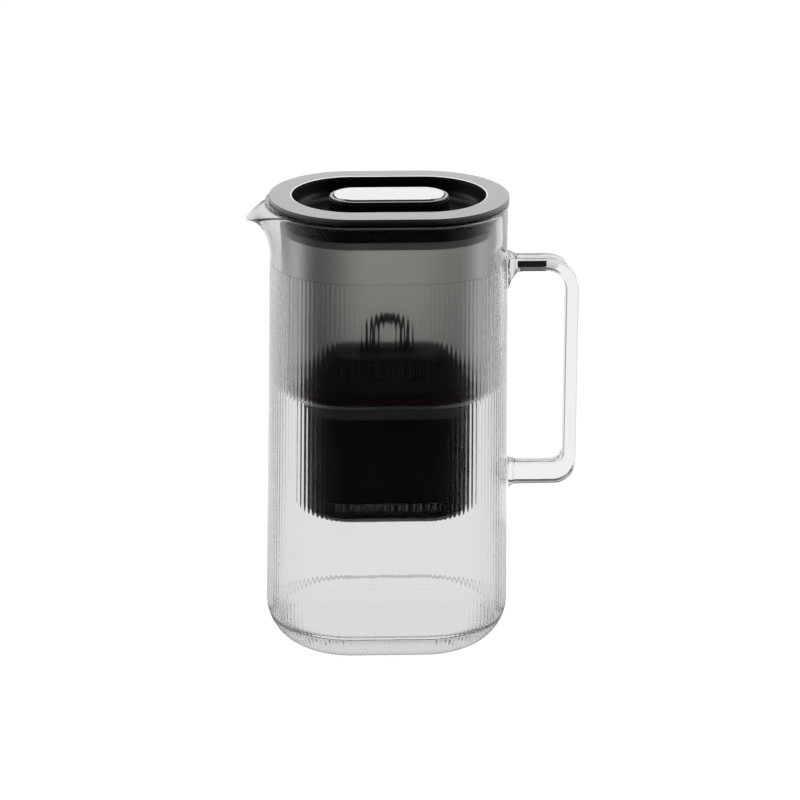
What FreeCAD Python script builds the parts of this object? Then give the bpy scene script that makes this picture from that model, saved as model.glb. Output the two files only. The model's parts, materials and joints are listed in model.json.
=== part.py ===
import FreeCAD, Part
import math
import os

# Water filter pitcher: a clear oblong glass jug with a strap handle and a pouring lip. A smoke-grey
# tank hangs in its mouth, a filter cartridge stands in the cup under the tank, and a lid with a
# timer button closes the top. Sizes are in millimetres. The origin is in the middle of the base,
# Z is up, the handle is at +X and the lip at -X.

# Plan: every main piece is an oblong, two half rounds with this straight run between them
straight_run = 40.8

# Fits shared by several pieces
seat_gap = 0.05
loose_gap = 0.4
cut_overrun = 5.0

# Glass jug
jug_height = 266.0
base_depth = 99.8
shoulder_depth = 95.0
neck_height = 33.0
rib_step = 0.3
glass_wall = 3.2
base_thickness = 16.0
base_round = 27.0
inside_round = 6.0
rim_round = 1.2

# Pouring lip, as five sections from inside the neck to the tip
spout_reach = 13.7
spout_width = 50.0
spout_depth = 36.0
spout_droop = 9.2
spout_wall = 2.6
spout_reach_shares = (-0.42, 0.07, 0.30, 0.55, 0.95)
spout_width_shares = (1.0, 0.80, 0.66, 0.50, 0.16)
spout_depth_shares = (1.0, 0.70, 0.38, 0.24, 0.06)
spout_droop_shares = (0.0, 0.08, 0.22, 0.42, 0.90)
spout_belly_share = 0.62
bezier_dip_share = 4 / 3

# Glass handle and the weld pads that carry it
finger_room = 30.7
bar_thickness = 7.9
handle_width = 13.0
top_arm_drop = 31.9
top_arm_thickness = 7.7
low_arm_height = 97.1
low_arm_thickness = 12.3
top_outer_round = 19.0
top_inner_round = 11.5
low_outer_round = 12.7
low_inner_round = 7.0
handle_edge_round = 1.8
weld_round = 9.0
pad_length = 0.8
pad_round = 2.4

# Tank and cup
tank_clearance = 3.0
tank_wall = 1.8
tank_floor_drop = 112.0
tank_round = 6.0
tank_inside_round = 4.2
flange_thickness = 1.7
hood_reach = 2.4
collar_height = 4.4
collar_wall = 1.4
pour_gap_width = 44.0
ledge_width = 12.1
cup_drop = 184.0
cup_round = 5.0
cup_inside_round = 3.2
cup_band_height = 8.0
cup_band_step = 0.8
drain_slot_count = 7
drain_slot_width = 3.0
drain_slot_length = 24.0
drain_slot_pitch = 9.0

# Filter cartridge
cup_clearance = 1.1
shell_wall = 1.5
shell_round = 3.0
shell_foot_gap = 9.0
shell_nub_radius = 7.0
shell_nub_height = 2.5
shell_flange_width = 2.4
shell_flange_thickness = 1.8
seal_height = 3.0
seal_width = 2.8
screen_thickness = 0.6
shell_hole_radius = 1.8
shell_hole_count = 9
shell_hole_pitch = 7.0
cap_foot_inset = 4.4
cap_foot_height = 6.0
cap_height = 17.4
cap_top_inset = 9.6
cap_wall = 1.6
cap_foot_round = 4.0
cap_top_round = 3.0
inlet_slot_count = 9
inlet_slot_width = 2.2
inlet_slot_pitch = 6.6
inlet_slot_height = 7.0
tab_height = 21.6
tab_base_width = 34.6
tab_top_width = 24.4
tab_waist_height = 6.5
tab_waist_round = 5.0
tab_top_round = 11.4
tab_thickness = 4.0
tab_edge_round = 0.8
tab_hole_width = 14.4
tab_hole_height = 15.7
tab_hole_lift = 1.0
tab_hole_round = 7.0

# Lid
lid_overhang = 0.88
plate_thickness = 1.7
plate_round = 0.5
trim_thickness = 1.7
trim_width = 13.1
trim_crown = 0.45
trim_outer_round = 0.6
trim_inner_round = 0.5
moat_depth = 12.1
moat_round = 6.0
bowl_wall = 1.8
bowl_gap = 0.2
skirt_clearance = 0.8
skirt_height = 12.7
pan_step = 2.2
pan_depth = 17.7
pan_floor = 2.0
pan_wall = 1.6
gasket_height = 4.6
gasket_lip = 0.5

# Screws that join the pan to the cover
lid_screw_along = 26.4
lid_screw_across = 20.0
lid_boss_radius = 3.0
lid_screw_radius = 1.1
lid_screw_grip = 4.2
lid_head_radius = 2.2
lid_head_height = 1.3

# Grip, bezel and button
grip_run = 38.4
grip_radius = 15.1
grip_bore_radius = 13.7
bezel_inner_radius = 12.8
bezel_round = 0.4
button_radius = 12.2
button_proud = 0.9
button_plate = 1.8
button_round = 0.5
button_skirt_wall = 1.4
button_skirt_height = 5.8
button_flange_radius = 13.3
button_flange_thickness = 1.2
button_travel = 1.2
button_stem_radius = 2.0
switch_gap = 0.05

# Timer board under the button
board_radius = 13.0
board_thickness = 1.2
board_lift = 5.3
board_post_along = 25.2
board_post_radius = 2.4
board_screw_radius = 1.0
board_screw_grip = 4.5
board_head_radius = 2.0
board_head_height = 1.2
switch_side = 6.0
switch_body_height = 2.5
switch_plunger_radius = 1.7
switch_plunger_height = 0.8
led_length = 2.0
led_width = 1.2
led_height = 0.8
led_across = 7.5
spring_along = 16.0
spring_radius = 2.6
spring_wire = 0.5
spring_turns = 5
spring_steps_in_turn = 20
spring_wire_sides = 8

# Battery
cell_radius = 10.0
cell_height = 3.2
cell_round = 0.4
clip_sheet = 0.4
clip_width = 8.0
clip_leg_length = 3.3
battery_hole_radius = 11.5
battery_plug_gap = 0.3
battery_plug_height = 2.5
battery_flange_radius = 12.8
battery_flange_gap = 0.2
battery_flange_thickness = 0.8
battery_seal_thickness = 0.6
battery_seal_width = 1.3
coin_slot_length = 14.0
coin_slot_width = 2.0
coin_slot_depth = 1.2

# Places worked out from the sizes above
half_run = straight_run / 2
grip_half = grip_run / 2
base_radius = base_depth / 2
shoulder_radius = shoulder_depth / 2
shoulder_z = jug_height - neck_height
neck_radius = shoulder_radius - rib_step
mouth_radius = neck_radius - glass_wall
lid_radius = neck_radius + lid_overhang
top_arm = jug_height - top_arm_drop
top_arm_under = top_arm - top_arm_thickness
low_arm_top = low_arm_height + low_arm_thickness
flange_top = jug_height + flange_thickness
tank_radius = mouth_radius - tank_clearance
tank_inside = tank_radius - tank_wall
tank_under = jug_height - tank_floor_drop
tank_floor = tank_under + tank_wall
cup_radius = tank_radius - ledge_width
cup_inside = cup_radius - tank_wall
cup_under = jug_height - cup_drop
cup_floor = cup_under + tank_wall
shell_radius = cup_inside - cup_clearance
shell_inside = shell_radius - shell_wall
shell_under = cup_floor + shell_foot_gap
shell_floor = shell_under + shell_wall
shell_flange_radius = cup_inside + shell_flange_width
shell_seat = tank_floor + seal_height
shell_top = shell_seat + shell_flange_thickness
cap_foot_radius = shell_flange_radius - cap_foot_inset
cap_top = shell_top + cap_height
plate_top = flange_top + plate_thickness
lid_top = plate_top + trim_thickness
recess_radius = lid_radius - trim_width
bowl_radius = recess_radius + bowl_wall
moat_floor = lid_top - moat_depth
moat_under = moat_floor - bowl_wall
skirt_radius = tank_inside - skirt_clearance
skirt_under = flange_top - skirt_height
pan_radius = skirt_radius - pan_step
pan_under = flange_top - pan_depth
pan_top = pan_under + pan_floor
button_top = lid_top + button_proud
button_under = button_top - button_plate
board_under = pan_top + board_lift
board_top = board_under + board_thickness
switch_top = board_top + switch_body_height + switch_plunger_height
stem_under = switch_top + button_travel + switch_gap
cell_top = board_under - clip_sheet
battery_flange_top = pan_under + battery_flange_thickness
battery_seal_top = battery_flange_top + battery_seal_thickness


def spot(x, y, z):
    return FreeCAD.Vector(x, y, z)


upward = spot(0, 0, 1)


def rounded_face(corners):
    # A closed outline in the XZ plane, each corner given as (across, up, rounding)
    stops = []
    for index, (across, high, rounding) in enumerate(corners):
        here = spot(across, 0, high)
        if rounding == 0:
            stops.append((here, None, here))
            continue
        last = corners[index - 1]
        following = corners[(index + 1) % len(corners)]
        back = (spot(last[0], 0, last[1]) - here).normalize()
        ahead = (spot(following[0], 0, following[1]) - here).normalize()
        half_angle = back.getAngle(ahead) / 2
        reach = rounding / math.tan(half_angle)
        inward = (back + ahead).normalize() * (rounding / math.sin(half_angle) - rounding)
        stops.append((here + back * reach, here + inward, here + ahead * reach))
    edges = []
    for index, (start, middle, end) in enumerate(stops):
        if middle is not None:
            edges.append(Part.Arc(start, middle, end).toShape())
        edges.append(Part.makeLine(end, stops[(index + 1) % len(stops)][0]))
    return Part.Face(Part.Wire(edges))


def turned_oblong(corners, half):
    # The outline goes round an oblong path: turned at both ends, straight along both sides
    face = rounded_face(corners)
    pieces = []
    for side in (1, -1):
        section = face.copy()
        section.rotate(spot(0, 0, 0), upward, -90 * side)
        section.translate(spot(half * side, 0, 0))
        pieces.append(section.revolve(spot(half * side, 0, 0), upward, 180))
        pieces.append(section.extrude(spot(-2 * half * side, 0, 0)))
    return pieces[0].fuse(pieces[1:]).removeSplitter()


def oblong_prism(radius, low, high, half):
    return turned_oblong([(0, low, 0), (radius, low, 0), (radius, high, 0), (0, high, 0)], half)


def oblong_ring(inside, outside, low, high, half):
    return turned_oblong([(inside, low, 0), (outside, low, 0), (outside, high, 0),
                          (inside, high, 0)], half)


def block(x_low, x_high, y_low, y_high, z_low, z_high):
    return Part.makeBox(x_high - x_low, y_high - y_low, z_high - z_low, spot(x_low, y_low, z_low))


def rod(radius, x, y, low, high):
    return Part.makeCylinder(radius, high - low, spot(x, y, low))


def centred_row(count, pitch):
    return [(index - (count - 1) / 2) * pitch for index in range(count)]


def four_corners(along, across):
    return [(x, y) for x in (-along, along) for y in (-across, across)]


def wall_radius(high):
    # Outside radius of the drafted body at a height
    share = high / shoulder_z
    return base_radius + (shoulder_radius - base_radius) * share


def spout_sections(wall, rise):
    # U-shaped sections of the lip; the wall thins them and the rise lifts their open tops
    wires = []
    for index, reach_share in enumerate(spout_reach_shares):
        x = -(half_run + neck_radius + spout_reach * reach_share)
        half_width = spout_width / 2 * spout_width_shares[index] - wall
        half_width = max(half_width, spout_wall / 2)
        top = jug_height - spout_droop * spout_droop_shares[index]
        dip = (spout_depth * spout_depth_shares[index] - wall) * bezier_dip_share
        belly = half_width * spout_belly_share
        curve = Part.BezierCurve()
        curve.setPoles([spot(x, -half_width, top), spot(x, -belly, top - dip),
                        spot(x, belly, top - dip), spot(x, half_width, top)])
        ends = [spot(x, half_width, top), spot(x, half_width, top + rise),
                spot(x, -half_width, top + rise), spot(x, -half_width, top)]
        lines = [Part.makeLine(a, b) for a, b in zip(ends, ends[1:]) if (b - a).Length > 0]
        wires.append(Part.Wire([curve.toShape()] + lines))
    return wires


def weld_seat(high):
    # Plane on which an arm of the handle meets its pad
    return half_run + wall_radius(high) + pad_length


def weld_pad(low, high, seat):
    # A foot on the wall with a flat seat for one arm of the handle
    root = seat - pad_length - glass_wall / 2
    pad = block(root, seat, -handle_width / 2, handle_width / 2, low, high)
    edges = [edge for edge in pad.Edges if edge.BoundBox.XLength > pad_length]
    return pad.makeFillet(pad_round, edges)


def make_glass_jug():
    outside = turned_oblong([
        (0, 0, 0), (base_radius, 0, base_round), (shoulder_radius, shoulder_z, 0),
        (neck_radius, shoulder_z + rib_step, 0), (neck_radius, jug_height, rim_round),
        (0, jug_height, 0)], half_run)
    floor_radius = wall_radius(base_thickness) - glass_wall
    inside = turned_oblong([
        (0, base_thickness, 0), (floor_radius, base_thickness, inside_round),
        (shoulder_radius - glass_wall, shoulder_z, 0), (mouth_radius, shoulder_z + rib_step, 0),
        (mouth_radius, jug_height, rim_round), (neck_radius, jug_height, 0),
        (neck_radius, jug_height + cut_overrun, 0), (0, jug_height + cut_overrun, 0)], half_run)
    lip = Part.makeLoft(spout_sections(0, 0), True)
    channel = Part.makeLoft(spout_sections(spout_wall, spout_droop + cut_overrun), True)
    pads = [weld_pad(top_arm_under - weld_round, top_arm, weld_seat(top_arm)),
            weld_pad(low_arm_height, low_arm_top, weld_seat(low_arm_height))]
    return outside.fuse([lip] + pads).cut([inside, channel])


def make_weld_web(seat):
    # The hollow-curved web under the top arm, where the glass has run down the wall
    inside = top_arm_under + handle_edge_round
    corner = spot(seat + weld_round, 0, top_arm_under - weld_round)
    bend = corner + spot(-1, 0, 1).normalize() * weld_round
    ends = [spot(seat, 0, top_arm_under - weld_round), spot(seat, 0, inside),
            spot(seat + weld_round, 0, inside), spot(seat + weld_round, 0, top_arm_under)]
    edges = [Part.makeLine(a, b) for a, b in zip(ends, ends[1:])]
    edges.append(Part.Arc(ends[-1], bend, ends[0]).toShape())
    width = handle_width - 2 * handle_edge_round
    face = Part.Face(Part.Wire(edges))
    face.translate(spot(0, -width / 2, 0))
    return face.extrude(spot(0, width, 0))


def make_glass_handle():
    bar_inside = half_run + base_radius + finger_room
    bar_outside = bar_inside + bar_thickness
    top_seat = weld_seat(top_arm)
    low_seat = weld_seat(low_arm_height)
    face = rounded_face([
        (top_seat, top_arm, 0), (bar_outside, top_arm, top_outer_round),
        (bar_outside, low_arm_height, low_outer_round), (low_seat, low_arm_height, 0),
        (low_seat, low_arm_top, 0), (bar_inside, low_arm_top, low_inner_round),
        (bar_inside, top_arm_under, top_inner_round), (top_seat, top_arm_under, 0)])
    face.translate(spot(0, -handle_width / 2, 0))
    strap = face.extrude(spot(0, handle_width, 0))
    long_edges = [edge for edge in strap.Edges
                  if edge.BoundBox.YLength < handle_edge_round
                  and edge.BoundBox.XMax > low_seat + handle_edge_round]
    return strap.makeFillet(handle_edge_round, long_edges).fuse(make_weld_web(top_seat)).removeSplitter()


def make_hopper_tank():
    band_under = tank_under - cup_band_height
    band_radius = cup_radius + cup_band_step
    tank = turned_oblong([
        (0, cup_under, 0), (cup_radius, cup_under, cup_round), (cup_radius, band_under, 0),
        (band_radius, band_under, 0), (band_radius, tank_under, 0),
        (tank_radius, tank_under, tank_round), (tank_radius, jug_height, 0),
        (lid_radius, jug_height, 0), (lid_radius, flange_top, 0), (tank_inside, flange_top, 0),
        (tank_inside, tank_floor, tank_inside_round), (cup_inside, tank_floor, 0),
        (cup_inside, cup_floor, cup_inside_round), (0, cup_floor, 0)], half_run)
    collar_outside = mouth_radius - loose_gap
    collar = oblong_ring(collar_outside - collar_wall, collar_outside,
                         jug_height - collar_height, flange_top, half_run)
    pour_gap = block(-half_run - neck_radius, -half_run, -pour_gap_width / 2, pour_gap_width / 2,
                     jug_height - collar_height - cut_overrun, jug_height)
    hood = oblong_ring(tank_radius + hood_reach, lid_radius, jug_height, flange_top, half_run)
    hood.translate(spot(-hood_reach, 0, 0))
    slots = [block(x - drain_slot_width / 2, x + drain_slot_width / 2,
                   -drain_slot_length / 2, drain_slot_length / 2,
                   cup_under - cut_overrun, cup_floor + cut_overrun)
             for x in centred_row(drain_slot_count, drain_slot_pitch)]
    return tank.fuse([collar.cut(pour_gap), hood]).cut(slots).removeSplitter()


def make_cartridge_shell():
    shell = turned_oblong([
        (0, shell_under, 0), (shell_radius, shell_under, shell_round), (shell_radius, shell_seat, 0),
        (shell_flange_radius, shell_seat, 0), (shell_flange_radius, shell_top, 0),
        (shell_inside, shell_top, 0), (shell_inside, shell_floor, 0), (0, shell_floor, 0)], half_run)
    nub = rod(shell_nub_radius, 0, 0, shell_under - shell_nub_height, shell_floor)
    holes = [rod(shell_hole_radius, x, y, shell_under - cut_overrun, shell_floor + cut_overrun)
             for x in centred_row(shell_hole_count, shell_hole_pitch)
             for y in (-shell_hole_pitch - shell_hole_radius, shell_hole_pitch + shell_hole_radius)]
    return shell.fuse(nub).cut(holes)


def make_cartridge_seal():
    # A flat ring between the tank's floor and the cartridge's flange
    inside = cup_inside + loose_gap
    return oblong_ring(inside, inside + seal_width, tank_floor, shell_seat, half_run)


def make_pull_tab():
    # A bell-shaped plate with a finger hole, standing on the cap
    top = cap_top + tab_height
    waist = cap_top + tab_waist_height
    base = tab_base_width / 2
    crown = tab_top_width / 2
    plate = rounded_face([
        (-base, cap_top - cap_wall / 2, 0), (base, cap_top - cap_wall / 2, 0), (base, cap_top, 0),
        (crown, waist, tab_waist_round), (crown, top, tab_top_round), (-crown, top, tab_top_round),
        (-crown, waist, tab_waist_round), (-base, cap_top, 0)])
    hole_low = cap_top + tab_hole_lift
    half_hole = tab_hole_width / 2
    hole = rounded_face([
        (-half_hole, hole_low, tab_hole_round), (half_hole, hole_low, tab_hole_round),
        (half_hole, hole_low + tab_hole_height, tab_hole_round),
        (-half_hole, hole_low + tab_hole_height, tab_hole_round)])
    face = plate.cut(hole)
    face.translate(spot(0, -tab_thickness / 2, 0))
    tab = face.extrude(spot(0, tab_thickness, 0))
    rim = [edge for edge in tab.Edges
           if edge.BoundBox.YLength < tab_edge_round and edge.BoundBox.ZMin > cap_top
           and edge.BoundBox.ZMax > hole_low]
    return tab.makeFillet(tab_edge_round, rim)


def make_cartridge_cap():
    foot_top = shell_top + cap_foot_height
    crown = cap_foot_radius - cap_top_inset
    dome = turned_oblong([
        (cap_foot_radius - cap_wall, shell_top, 0), (cap_foot_radius, shell_top, 0),
        (cap_foot_radius, foot_top, cap_foot_round), (crown, cap_top, cap_top_round), (0, cap_top, 0),
        (0, cap_top - cap_wall, 0), (crown - cap_wall / 2, cap_top - cap_wall, 0),
        (cap_foot_radius - cap_wall, foot_top - cap_wall / 2, 0)], half_run)
    slot_low = (foot_top + cap_top - inlet_slot_height) / 2
    slots = [block(x - inlet_slot_width / 2, x + inlet_slot_width / 2, -cap_foot_radius, cap_foot_radius,
                   slot_low, slot_low + inlet_slot_height)
             for x in centred_row(inlet_slot_count, inlet_slot_pitch)]
    return dome.cut(slots).fuse(make_pull_tab()).removeSplitter()


def make_outlet_screen():
    return oblong_prism(shell_inside - seat_gap, shell_floor, shell_floor + screen_thickness, half_run)


def make_filter_media():
    return oblong_prism(shell_inside - seat_gap, shell_floor + screen_thickness,
                        shell_top - screen_thickness, half_run)


def make_inlet_screen():
    return oblong_prism(shell_inside - seat_gap, shell_top - screen_thickness, shell_top, half_run)


def make_lid_cover():
    bowl = turned_oblong([
        (0, moat_under, 0), (bowl_radius, moat_under, moat_round + bowl_wall),
        (bowl_radius, flange_top, 0), (lid_radius, flange_top, plate_round),
        (lid_radius, plate_top, plate_round), (recess_radius, plate_top, 0),
        (recess_radius, moat_floor, moat_round), (0, moat_floor, 0)], half_run)
    grip = oblong_prism(grip_radius, moat_under, plate_top, grip_half)
    bore = oblong_prism(grip_bore_radius, moat_under - cut_overrun, plate_top + cut_overrun, grip_half)
    bosses = [rod(lid_boss_radius, x, y, pan_top, moat_floor - bowl_wall / 2)
              for x, y in four_corners(lid_screw_along, lid_screw_across)]
    pilot_end = pan_top + lid_screw_grip + loose_gap
    pilots = [rod(lid_screw_radius + seat_gap, x, y, pan_top - cut_overrun, pilot_end)
              for x, y in four_corners(lid_screw_along, lid_screw_across)]
    return bowl.fuse([grip] + bosses).cut([bore] + pilots).removeSplitter()


def make_lid_trim_ring():
    return turned_oblong([
        (recess_radius, plate_top, 0), (lid_radius, plate_top, 0),
        (lid_radius, lid_top, trim_outer_round),
        (recess_radius, lid_top + trim_crown, trim_inner_round)], half_run)


def make_lid_pan():
    skirt_inside = bowl_radius + bowl_gap
    step_top = skirt_under + pan_wall
    pan = turned_oblong([
        (0, pan_under, 0), (pan_radius, pan_under, 0), (pan_radius, skirt_under, 0),
        (skirt_radius, skirt_under, 0), (skirt_radius, flange_top, 0), (skirt_inside, flange_top, 0),
        (skirt_inside, step_top, 0), (pan_radius - pan_wall, step_top, 0),
        (pan_radius - pan_wall, pan_top, 0), (0, pan_top, 0)], half_run)
    posts = [rod(board_post_radius, x, 0, pan_top, board_under)
             for x in (-board_post_along, board_post_along)]
    pilot_end = board_top - board_screw_grip - loose_gap
    below = pan_under - cut_overrun
    cuts = [rod(board_screw_radius + seat_gap, x, 0, pilot_end, board_under)
            for x in (-board_post_along, board_post_along)]
    for x, y in four_corners(lid_screw_along, lid_screw_across):
        cuts.append(rod(lid_screw_radius + seat_gap, x, y, below, pan_top))
        cuts.append(rod(lid_head_radius + seat_gap, x, y, below, pan_under + lid_head_height))
    cuts.append(rod(battery_hole_radius, 0, 0, below, pan_top + cut_overrun))
    cuts.append(rod(battery_flange_radius + battery_flange_gap, 0, 0, below, battery_seal_top))
    return pan.fuse(posts).cut(cuts)


def make_lid_gasket():
    # A soft ring round the pan, under the skirt, with a pointed lip towards the tank's wall
    low = skirt_under - gasket_height
    inside = pan_radius + seat_gap
    lip = skirt_radius + gasket_lip
    middle = (low + skirt_under) / 2
    return turned_oblong([
        (inside, low, 0), (skirt_radius, low, 0), (lip, middle, 0),
        (skirt_radius, skirt_under, 0), (inside, skirt_under, 0)], half_run)


def make_lid_screws():
    shoulder = pan_under + lid_head_height
    screws = []
    for x, y in four_corners(lid_screw_along, lid_screw_across):
        head = rod(lid_head_radius, x, y, pan_under, shoulder)
        shank = rod(lid_screw_radius, x, y, shoulder, pan_top + lid_screw_grip)
        screws.append(head.fuse(shank))
    return Part.makeCompound(screws)


def make_indicator_bezel():
    return turned_oblong([
        (bezel_inner_radius, plate_top, 0), (grip_radius, plate_top, 0),
        (grip_radius, lid_top, bezel_round), (bezel_inner_radius, lid_top, bezel_round)], grip_half)


def make_indicator_button():
    skirt_under_z = button_under - button_skirt_height + button_plate
    flange_under = plate_top - button_flange_thickness
    skirt_inside = button_radius - button_skirt_wall
    button = turned_oblong([
        (0, button_under, 0), (skirt_inside, button_under, 0), (skirt_inside, skirt_under_z, 0),
        (button_radius, skirt_under_z, 0), (button_radius, flange_under, 0),
        (button_flange_radius, flange_under, 0), (button_flange_radius, plate_top, 0),
        (button_radius, plate_top, 0), (button_radius, button_top, button_round),
        (0, button_top, 0)], grip_half)
    stem = rod(button_stem_radius, 0, 0, stem_under, button_under)
    return button.fuse(stem).removeSplitter()


def make_button_springs():
    # Many-sided wire wound in short steps; its centre line stays half a wire inside both seats
    low = board_top + spring_wire / 2 + seat_gap
    high = button_under - spring_wire / 2 - seat_gap
    steps = spring_turns * spring_steps_in_turn
    coils = []
    for x in (-spring_along, spring_along):
        sections = []
        for step in range(steps + 1):
            turn = 2 * math.pi * step / spring_steps_in_turn
            centre = low + (high - low) * step / steps
            ring = []
            for side in range(spring_wire_sides + 1):
                angle = 2 * math.pi * side / spring_wire_sides
                radius = spring_radius + spring_wire / 2 * math.cos(angle)
                ring.append(spot(x + radius * math.cos(turn), radius * math.sin(turn),
                                 centre + spring_wire / 2 * math.sin(angle)))
            sections.append(Part.makePolygon(ring))
        coils.append(Part.makeLoft(sections, True, True))
    return Part.makeCompound(coils)


def make_indicator_board():
    board = oblong_prism(board_radius, board_under, board_top, grip_half)
    holes = [rod(board_screw_radius + seat_gap, x, 0, board_under - cut_overrun, board_top + cut_overrun)
             for x in (-board_post_along, board_post_along)]
    return board.cut(holes)


def make_board_screws():
    screws = []
    for x in (-board_post_along, board_post_along):
        head = rod(board_head_radius, x, 0, board_top, board_top + board_head_height)
        shank = rod(board_screw_radius, x, 0, board_top - board_screw_grip, board_top)
        screws.append(head.fuse(shank))
    return Part.makeCompound(screws)


def make_tact_switch():
    half = switch_side / 2
    body_top = board_top + switch_body_height
    return block(-half, half, -half, half, board_top, body_top).fuse(
        rod(switch_plunger_radius, 0, 0, body_top, switch_top))


def make_indicator_leds():
    return Part.makeCompound([
        block(-led_length / 2, led_length / 2, y - led_width / 2, y + led_width / 2,
              board_top, board_top + led_height) for y in (-led_across, led_across)])


def make_coin_cell():
    cell = rod(cell_radius, 0, 0, cell_top - cell_height, cell_top)
    rims = [edge for edge in cell.Edges if edge.BoundBox.ZLength < cell_round]
    return cell.makeFillet(cell_round, rims)


def make_battery_clip():
    # A sheet bridge under the board with two legs that hold the cell's edge
    reach = cell_radius + loose_gap
    half = clip_width / 2
    bridge = block(-reach - clip_sheet, reach + clip_sheet, -half, half, cell_top, board_under)
    legs = [block(x, x + clip_sheet, -half, half, cell_top - clip_leg_length, cell_top)
            for x in (-reach - clip_sheet, reach)]
    return bridge.fuse(legs).removeSplitter()


def make_battery_cover():
    flange = rod(battery_flange_radius, 0, 0, pan_under, battery_flange_top)
    plug_radius = battery_hole_radius - battery_plug_gap
    plug = rod(plug_radius, 0, 0, battery_flange_top, battery_flange_top + battery_plug_height)
    slot = block(-coin_slot_length / 2, coin_slot_length / 2, -coin_slot_width / 2, coin_slot_width / 2,
                 pan_under - cut_overrun, pan_under + coin_slot_depth)
    return flange.fuse(plug).cut(slot)


def make_battery_seal():
    outside = rod(battery_flange_radius, 0, 0, battery_flange_top, battery_seal_top)
    inside = rod(battery_flange_radius - battery_seal_width, 0, 0, battery_flange_top, battery_seal_top)
    return outside.cut(inside)


makers = {
    "glass_jug": make_glass_jug,
    "glass_handle": make_glass_handle,
    "hopper_tank": make_hopper_tank,
    "cartridge_shell": make_cartridge_shell,
    "cartridge_seal": make_cartridge_seal,
    "cartridge_cap": make_cartridge_cap,
    "outlet_screen": make_outlet_screen,
    "filter_media": make_filter_media,
    "inlet_screen": make_inlet_screen,
    "lid_cover": make_lid_cover,
    "lid_trim_ring": make_lid_trim_ring,
    "lid_pan": make_lid_pan,
    "lid_gasket": make_lid_gasket,
    "lid_screws": make_lid_screws,
    "indicator_bezel": make_indicator_bezel,
    "indicator_button": make_indicator_button,
    "button_springs": make_button_springs,
    "indicator_board": make_indicator_board,
    "board_screws": make_board_screws,
    "tact_switch": make_tact_switch,
    "indicator_leds": make_indicator_leds,
    "coin_cell": make_coin_cell,
    "battery_clip": make_battery_clip,
    "battery_cover": make_battery_cover,
    "battery_seal": make_battery_seal,
}

os.makedirs("parts", exist_ok=True)
for name, maker in makers.items():
    shape = maker()
    box = shape.BoundBox
    print(name, len(shape.Solids), shape.isValid(), round(shape.Volume, 2),
          [round(value, 2) for value in (box.XMin, box.XMax, box.YMin, box.YMax, box.ZMin, box.ZMax)])
    shape.exportStep("parts/" + name + ".step")
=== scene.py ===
import json
import math

import bmesh
import bpy
import numpy as np
from mathutils import Matrix, Quaternion, Vector


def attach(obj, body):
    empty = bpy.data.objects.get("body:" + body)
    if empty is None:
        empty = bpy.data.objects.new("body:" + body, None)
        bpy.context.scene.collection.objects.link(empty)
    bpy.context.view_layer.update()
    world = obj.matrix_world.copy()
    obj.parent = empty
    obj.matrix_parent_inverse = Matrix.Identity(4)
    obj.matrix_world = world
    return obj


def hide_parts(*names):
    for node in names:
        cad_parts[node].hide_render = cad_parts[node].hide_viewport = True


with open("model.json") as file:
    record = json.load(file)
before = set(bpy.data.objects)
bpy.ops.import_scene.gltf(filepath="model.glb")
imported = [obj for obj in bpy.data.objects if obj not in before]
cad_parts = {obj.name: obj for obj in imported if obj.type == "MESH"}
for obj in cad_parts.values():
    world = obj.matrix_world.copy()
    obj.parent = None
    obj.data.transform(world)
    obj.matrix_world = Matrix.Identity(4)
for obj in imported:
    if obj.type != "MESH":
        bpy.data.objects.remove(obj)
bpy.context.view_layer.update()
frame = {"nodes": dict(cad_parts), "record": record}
scene = bpy.context.scene
print("frame loaded:", len(frame["nodes"]), "nodes")


def addNode(tree, kind, inputs=None, **settings):
    node = tree.nodes.new(kind)
    for key, value in settings.items():
        setattr(node, key, value)
    for key, value in (inputs or {}).items():
        if isinstance(value, bpy.types.NodeSocket):
            tree.links.new(value, node.inputs[key])
        else:
            node.inputs[key].default_value = value
    return node


def maths(tree, operation, *values, clamp=False):
    return addNode(tree, "ShaderNodeMath", dict(enumerate(values)), operation=operation, use_clamp=clamp).outputs[0]


def ramp(tree, value, low, high, toLow=0.0, toHigh=1.0):
    inputs = {"Value": value, "From Min": low, "From Max": high, "To Min": toLow, "To Max": toHigh}
    return addNode(tree, "ShaderNodeMapRange", inputs, interpolation_type="SMOOTHSTEP").outputs["Result"]


def mixValues(tree, share, first, second):
    return addNode(tree, "ShaderNodeMix", {"Factor": share, 2: first, 3: second}).outputs[0]


def mixColours(tree, share, first, second):
    return addNode(tree, "ShaderNodeMix", {"Factor": share, 6: first, 7: second}, data_type="RGBA").outputs[2]


def plainPaint(name, values):
    paint = bpy.data.materials.new(name)
    paint.use_nodes = True
    tree = paint.node_tree
    shader = tree.nodes["Principled BSDF"]
    for socket, value in values.items():
        shader.inputs[socket].default_value = value
    return paint, tree, shader


def flatObject(name, corners, paint):
    mesh = bpy.data.meshes.new(name)
    mesh.from_pydata(corners, [], [tuple(range(len(corners)))])
    mesh.materials.append(paint)
    flat = bpy.data.objects.new(name, mesh)
    scene.collection.objects.link(flat)
    return flat


# camera at the photograph's view: a long lens, looking down on the lid
view = {
    "lens": 213.69,
    "sensor": 36.0,
    "place": (-0.12164, -2.58257, 1.05467),
    "aim": (0.00706, 0.0, 0.14737),
    "roll": 0.0071,
}


def placeCamera():
    data = bpy.data.cameras.new("camera")
    data.lens = view["lens"]
    data.sensor_width = view["sensor"]
    camera = bpy.data.objects.new("camera", data)
    scene.collection.objects.link(camera)
    sight = Vector(view["aim"]) - Vector(view["place"])
    turn = sight.to_track_quat("-Z", "Y") @ Quaternion((0, 0, 1), view["roll"])
    camera.rotation_mode = "QUATERNION"
    camera.rotation_quaternion = turn
    camera.location = view["place"]
    scene.camera = camera


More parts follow.
